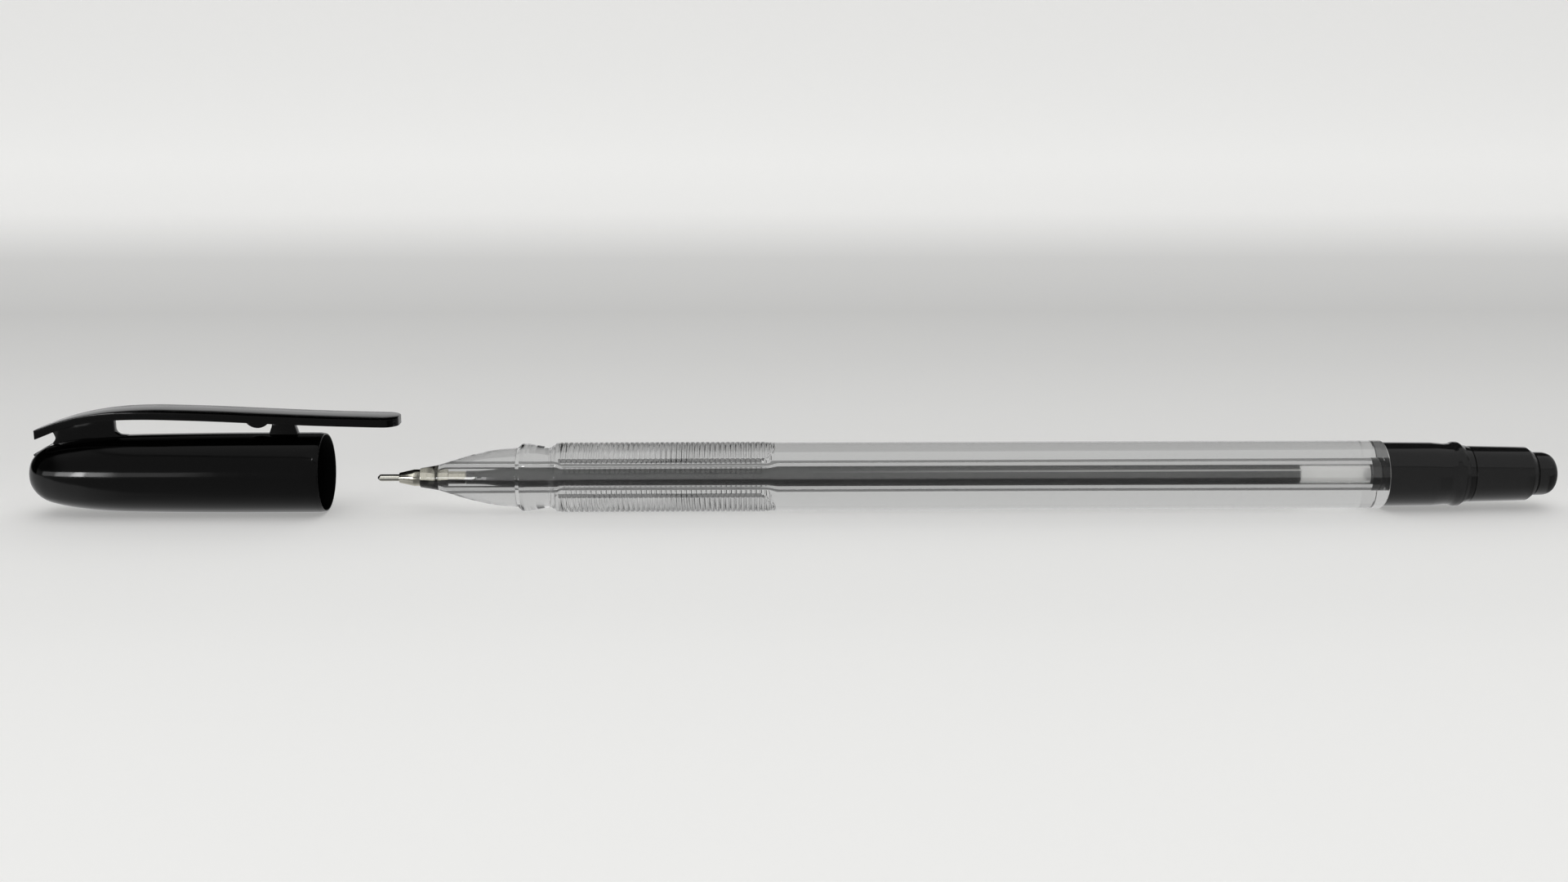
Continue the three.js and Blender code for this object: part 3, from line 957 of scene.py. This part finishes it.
def environment():
    """Soft studio surroundings: grey room in front, open dark overhead, pale low down and behind."""
    world = bpy.data.worlds.new("studio")
    bpy.context.scene.world = world
    world.use_nodes = True
    nt = world.node_tree
    co = nt.nodes.new("ShaderNodeTexCoord")
    sep = nt.nodes.new("ShaderNodeSeparateXYZ")
    nt.links.new(co.outputs["Generated"], sep.inputs[0])
    x, y, z = (sep.outputs[i] for i in range(3))

    def put_in(socket, v):
        if isinstance(v, (int, float)):
            socket.default_value = v
        else:
            nt.links.new(v, socket)

    def math_node(op, u, v):
        n = nt.nodes.new("ShaderNodeMath")
        n.operation = op
        put_in(n.inputs[0], u)
        put_in(n.inputs[1], v)
        return n.outputs[0]

    def step(v, lo, hi, a=0.0, b=1.0):
        n = nt.nodes.new("ShaderNodeMapRange")
        n.interpolation_type = "SMOOTHSTEP"
        for key, q in (("From Min", lo), ("From Max", hi), ("To Min", a), ("To Max", b)):
            n.inputs[key].default_value = q
        put_in(n.inputs["Value"], v)
        return n.outputs["Result"]

    def table(v, lo, hi, stops):
        t = step(v, lo, hi)
        t.node.interpolation_type = "LINEAR"
        return ramp(nt, t, [((p - lo) / (hi - lo), q) for p, q in stops])

    edge = math_node("SUBTRACT", y, math_node("ADD", math_node("MULTIPLY", x, 0.48), 0.264))
    slant = math_node("ADD", math_node("MULTIPLY", x, 0.37), z)
    grey = math_node("ADD", step(edge, -0.50, -0.04, 0.155, 0.20), step(slant, 0.735, 0.75, 0.0, 0.065))
    grey = math_node("SUBTRACT", grey, math_node("MULTIPLY", step(slant, 0.695, 0.705), step(slant, 0.73, 0.74, 0.07, 0.0)))
    corner = math_node("MULTIPLY", step(x, -0.72, -0.60, 1.0, 0.0), step(z, 0.16, 0.30, 0.0, 0.8))
    grey = math_node("MULTIPLY", grey, math_node("SUBTRACT", 1.0, corner))
    room = math_node("MULTIPLY", step(edge, -0.03, 0.05, 1.0, 0.0), grey)
    behind = math_node("MULTIPLY", step(z, 0.24, 0.34, 0.62, 0.0), step(y, 0.2, 0.6))
    behind = math_node("MULTIPLY", behind, step(x, 0.55, 0.75, 1.0, 0.3))
    behind = math_node("MULTIPLY", behind, step(x, -0.72, -0.52, 0.05, 1.0))
    above = math_node("ADD", room, behind)
    right = step(x, 0.45, 0.6, 1.0, 0.3)
    below = table(y, -1.0, 1.0, [(-1, 0.15), (-0.6, 0.17), (-0.3, 0.26), (0.17, 0.46), (0.53, 0.64), (1, 0.64)])
    left = math_node("MAXIMUM", math_node("MULTIPLY", x, -1.0), 0.0)
    side = math_node("ADD", math_node("ADD", math_node("MULTIPLY", left, -1.4), z), 1.17)
    glow = table(left, 0.0, 1.0, [(0.30, 0.16), (0.45, 0.33), (0.55, 0.44), (0.7, 0.54), (0.85, 0.60)])
    below = math_node("MAXIMUM", below, math_node("MULTIPLY", glow, step(side, -0.05, 0.06, 1.0, 0.0)))
    below = math_node("MULTIPLY", below, right)
    low = step(z, -0.03, 0.03, 1.0, 0.0)
    both = math_node(
        "ADD", math_node("MULTIPLY", below, low), math_node("MULTIPLY", above, math_node("SUBTRACT", 1.0, low))
    )

    def switch(flag, off, on):
        return math_node("ADD", math_node("MULTIPLY", off, math_node("SUBTRACT", 1.0, flag)), math_node("MULTIPLY", on, flag))

    # through the clear plastic: the pale sweep behind, a bright room in front, dark just before the feet
    sweep_seen = math_node("ADD", step(z, -0.77, -0.755, 0.535, 0.66), step(z, 0.62, 0.64, 0.0, -0.06))
    aside = math_node("ADD", math_node("ABSOLUTE", x, 0), step(z, 0.0, 0.2, 0.0, 0.10))
    dim = math_node("MULTIPLY", step(aside, 0.45, 0.52, 0.0, 0.32), step(aside, 0.68, 0.78, 1.0, 0.15))
    dim = math_node("MULTIPLY", dim, step(z, -0.6, -0.2, 0.45, 1.0))
    sweep_seen = math_node("SUBTRACT", sweep_seen, dim)
    aside = math_node("ABSOLUTE", x, 0)
    front = math_node("MULTIPLY", math_node("MAXIMUM", step(z, -0.27, -0.22), step(aside, 0.42, 0.5)), 0.90)
    front = math_node("ADD", front, 0.12)
    through = switch(step(y, -0.26, -0.20, 1.0, 0.0), sweep_seen, front)
    path = nt.nodes.new("ShaderNodeLightPath")
    both = switch(path.outputs["Is Transmission Ray"], both, through)
    both = switch(path.outputs["Is Camera Ray"], both, 0.66)
    bg = nt.nodes["Background"]
    nt.links.new(both, bg.inputs["Color"])
    bg.inputs["Strength"].default_value = 1.0


environment()


def area(name, loc, target, size, size_y, power, shown=True):
    d = bpy.data.lights.new(name, "AREA")
    d.shape = "RECTANGLE"
    d.size, d.size_y = size, size_y
    d.energy = power
    o = bpy.data.objects.new(name, d)
    o.location = loc
    o.rotation_euler = (Vector(target) - Vector(loc)).to_track_quat("-Z", "Y").to_euler()
    if not shown:
        o.visible_glossy = False
        o.visible_transmission = False
    bpy.context.scene.collection.objects.link(o)
    return o


area("soft_overhead", (0, -0.1, 1.0), (0, 0, 0), 1.4, 1.2, 4.5, shown=False)
for n, turn, wide, power in (
    ("card_front_left", 34.2, 0.055, 0.290),
    ("card_shoulder_a", 40.4, 0.070, 0.130),
    ("card_shoulder_b", 28.0, 0.070, 0.108),
    ("card_left", 50.2, 0.130, 0.062),
    ("card_right", 21.2, 0.080, 0.021),
):
    q = math.radians(turn)
    place = (-0.09 - 0.65 * math.sin(q), -0.65 * math.cos(q), 0.09)
    card = area(n, place, (-0.09, 0, 0.004), wide, 0.13, power)
    card.visible_transmission = False
metal_point = bpy.data.collections.new("metal_point")
for n in ("needle", "writing_ball", "tip_shank"):
    metal_point.objects.link(bpy.data.objects[n])
for n, (lift, span, power) in enumerate(((0.5, 19, 1.3e-4), (44, 36, 2.4e-4), (82, 40, 2.6e-4))):
    # small cards bent round the metal point, which light only the metal pieces
    q = math.radians(lift)
    place = (-0.0547, -0.015 * math.cos(q), 0.00428 + 0.015 * math.sin(q))
    card = area("card_point_%d" % n, place, (-0.0547, 0, 0.00428), 0.0070, 0.015 * math.radians(span), power)
    card.visible_camera = False
    card.visible_diffuse = False
    card.visible_transmission = False
    card.light_linking.receiver_collection = metal_point
spot = area("spot_front", (-0.118, -0.36, 0.44), (-0.055, 0, 0.004), 0.03, 0.03, 0.03)
spot.visible_transmission = False

PITCH, YAW = math.radians(13.0), math.radians(0.88)
FOCAL, DEPTH, DROP = 2125.3, 217.6, 43.17
fwd = Vector((math.sin(YAW) * math.cos(PITCH), math.cos(YAW) * math.cos(PITCH), -math.sin(PITCH)))
right = Vector((math.cos(YAW), -math.sin(YAW), 0))
up = right.cross(fwd)
look = Vector((-1.69, 0, Z_PEN))
eye = look - fwd * DEPTH + up * (DROP / FOCAL * DEPTH)
cam_data = bpy.data.cameras.new("camera")
cam_data.sensor_width = 36.0
cam_data.lens = FOCAL * 36.0 / 1920
cam_data.clip_start = 0.005
cam_data.clip_end = 20
cam_data.dof.use_dof = False
cam = bpy.data.objects.new("camera", cam_data)
cam.location = eye * MM
cam.rotation_euler = fwd.to_track_quat("-Z", "Y").to_euler()
bpy.context.scene.collection.objects.link(cam)
bpy.context.scene.camera = cam
bpy.context.scene.view_settings.view_transform = "Standard"
bpy.context.scene.view_settings.look = "None"

import json
